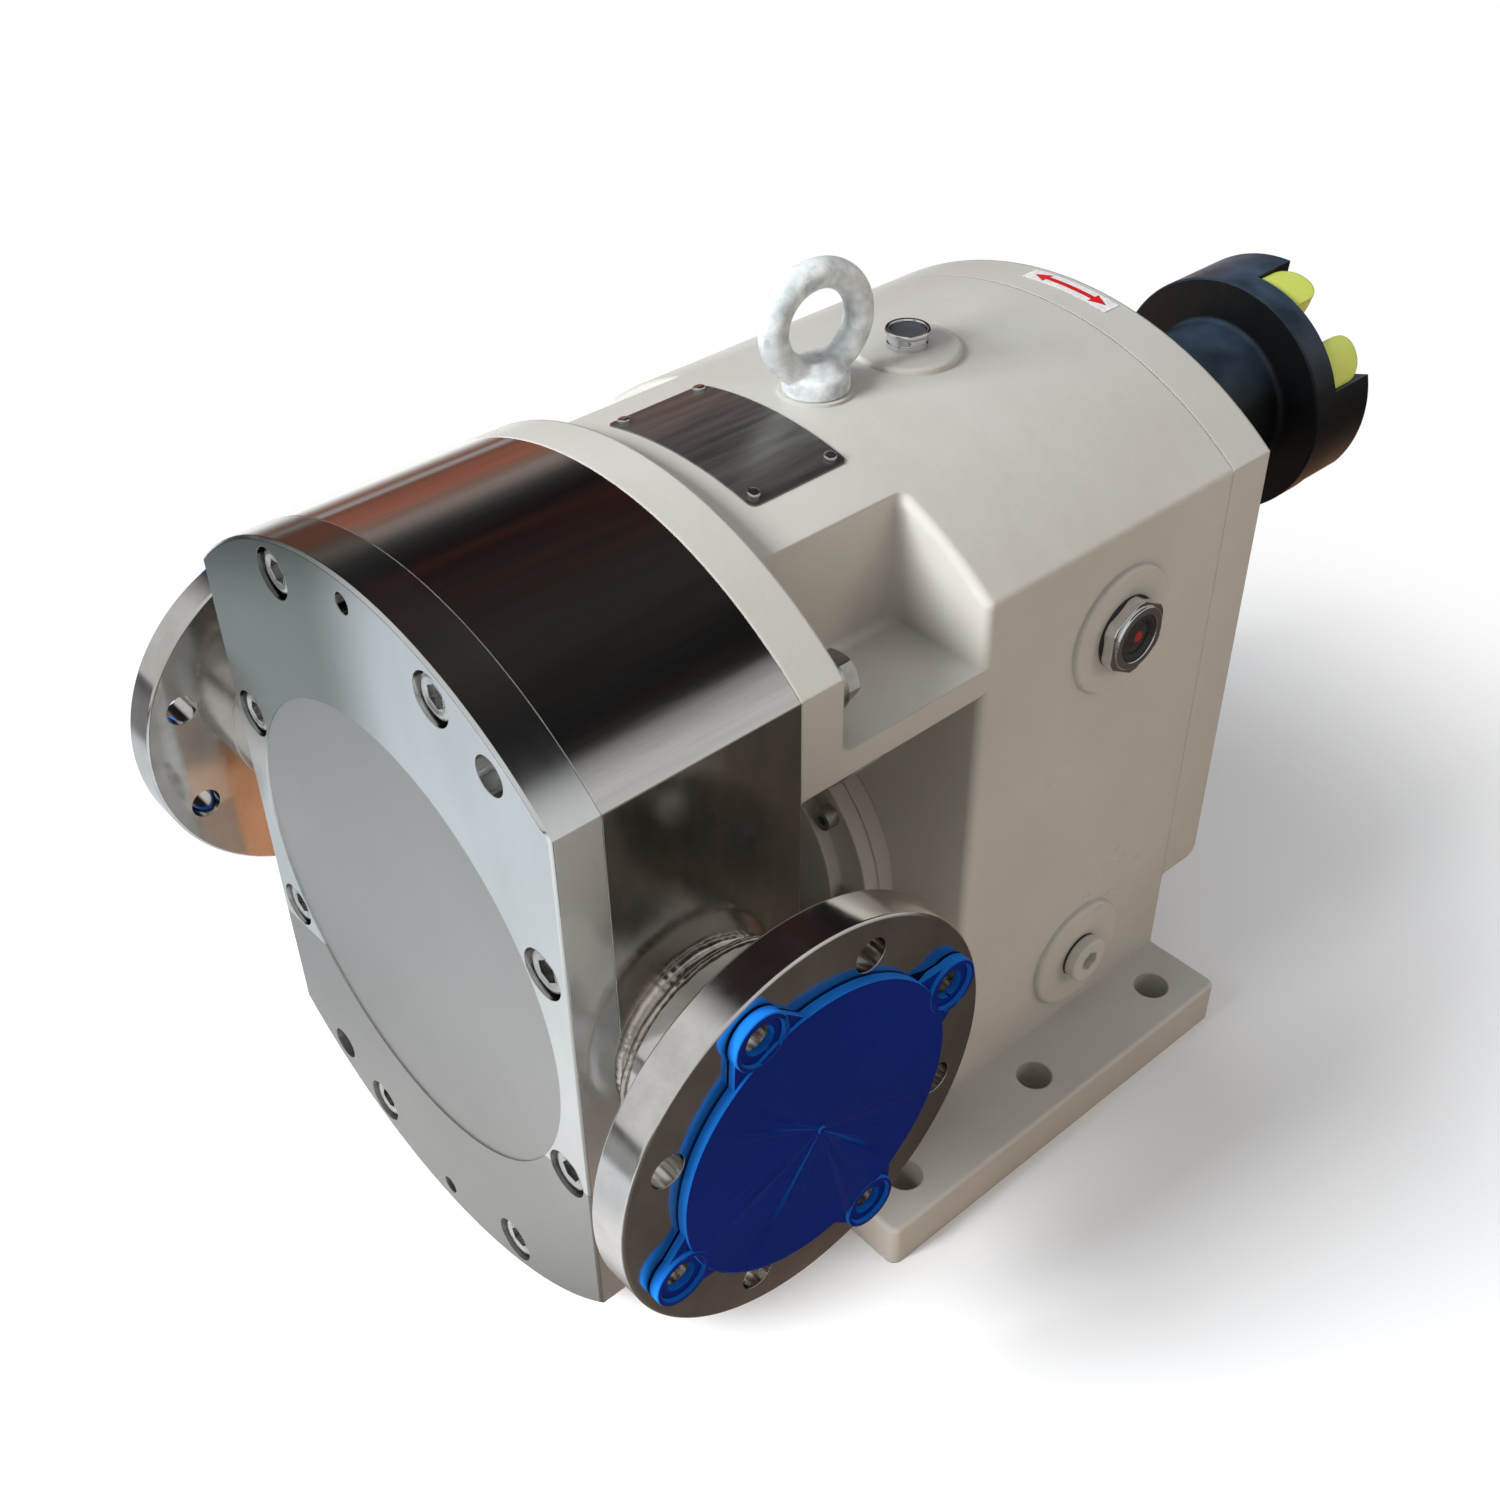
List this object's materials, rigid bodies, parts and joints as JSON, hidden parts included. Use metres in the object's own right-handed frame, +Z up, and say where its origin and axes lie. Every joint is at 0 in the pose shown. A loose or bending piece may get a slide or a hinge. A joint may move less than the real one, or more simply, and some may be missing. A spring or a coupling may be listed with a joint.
{
  "type": "rotary lobe pump",
  "caption": "Horizontal rotary lobe pump with side ports under plastic caps, cast gearbox on a foot plate, lifting eye and a jaw coupling half on the drive shaft.",
  "frame": {"origin": "centre of the base plate's underside, on the floor", "axes": "+Z up, +Y from the front cover towards the coupling, +X towards the right port as seen from the front cover"},
  "size_m": [0.4718, 0.749, 0.5072],
  "materials": {
    "casting_paint": "satin cream paint on a cast surface",
    "stainless": "polished",
    "machined_steel": "turned and ground",
    "zinc_steel": "zinc plated",
    "seal_rubber": "matte black",
    "seal_face": "lapped",
    "chrome_fitting": "plated",
    "sight_glass": "clear, dark behind",
    "plate_metal": "dark, blank",
    "coupling_iron": "black, dusty",
    "spider_elastomer": "yellow-green polyurethane",
    "cap_plastic": "blue"
  },
  "bodies": {
    "housing": {"gearbox_housing": "casting_paint", "rear_cover": "casting_paint", "rear_cover_screws": "zinc_steel", "rear_bearing_cap_drive": "casting_paint", "rear_bearing_cap_blind": "casting_paint", "rear_cap_screws": "zinc_steel", "bearing_carrier_upper": "casting_paint", "bearing_carrier_lower": "casting_paint", "bearing_cover_upper": "casting_paint", "bearing_cover_lower": "casting_paint", "bearing_cover_screws": "zinc_steel", "front_oil_seals": "seal_rubber", "rear_oil_seal": "seal_rubber", "bearing_outer_rings": "machined_steel", "rotor_case": "stainless", "port_stub_right": "stainless", "port_stub_left": "stainless", "cover_seal_ring": "seal_rubber", "front_cover": "stainless", "cover_screws": "zinc_steel", "dowel_pins": "stainless", "case_bolts": "zinc_steel", "case_bolt_washers": "zinc_steel", "seal_housings": "stainless", "seal_stationary_rings": "seal_face", "eye_bolt": "zinc_steel", "breather": "chrome_fitting", "sight_glass_body": "chrome_fitting", "sight_glass_lens": "sight_glass", "sight_glass_gasket": "seal_rubber", "drain_plug": "casting_paint", "drain_plug_gasket": "seal_rubber", "nameplate": "plate_metal", "nameplate_screws": "zinc_steel", "drive_bearing_rollers": "machined_steel", "driven_bearing_rollers": "machined_steel"},
    "drive_train": {"drive_shaft": "machined_steel", "drive_rotor": "stainless", "drive_rotor_screw": "stainless", "drive_rotor_key": "machined_steel", "drive_timing_gear": "machined_steel", "drive_gear_key": "machined_steel", "drive_gear_nut": "machined_steel", "drive_bearing_inner_rings": "machined_steel", "drive_seal_ring": "seal_face", "coupling_hub": "coupling_iron", "coupling_spider": "spider_elastomer", "coupling_key": "machined_steel", "coupling_set_screw": "machined_steel"},
    "driven_train": {"driven_shaft": "machined_steel", "driven_rotor": "stainless", "driven_rotor_screw": "stainless", "driven_rotor_key": "machined_steel", "driven_timing_gear": "machined_steel", "driven_gear_key": "machined_steel", "driven_gear_nut": "machined_steel", "driven_bearing_inner_rings": "machined_steel", "driven_seal_ring": "seal_face"},
    "right_cap": {"port_cap_right": "cap_plastic"},
    "left_cap": {"port_cap_left": "cap_plastic"}
  },
  "joints": [
    {"name": "drive_spin", "type": "hinge", "parent": "housing", "child": "drive_train", "pos_m": [0, 0, 0.301], "axis": [0, 1, 0], "continuous": true},
    {"name": "driven_spin", "type": "hinge", "parent": "housing", "child": "driven_train", "pos_m": [0, 0, 0.157], "axis": [0, 1, 0], "continuous": true},
    {"name": "right_cap_pull", "type": "slide", "parent": "housing", "child": "right_cap", "axis": [1, 0, 0], "range_m": [0, 0.12]},
    {"name": "left_cap_pull", "type": "slide", "parent": "housing", "child": "left_cap", "axis": [-1, 0, 0], "range_m": [0, 0.12]}
  ],
  "couplings": [
    {"joint": "driven_spin", "follows": "drive_spin", "ratio": -1}
  ]
}
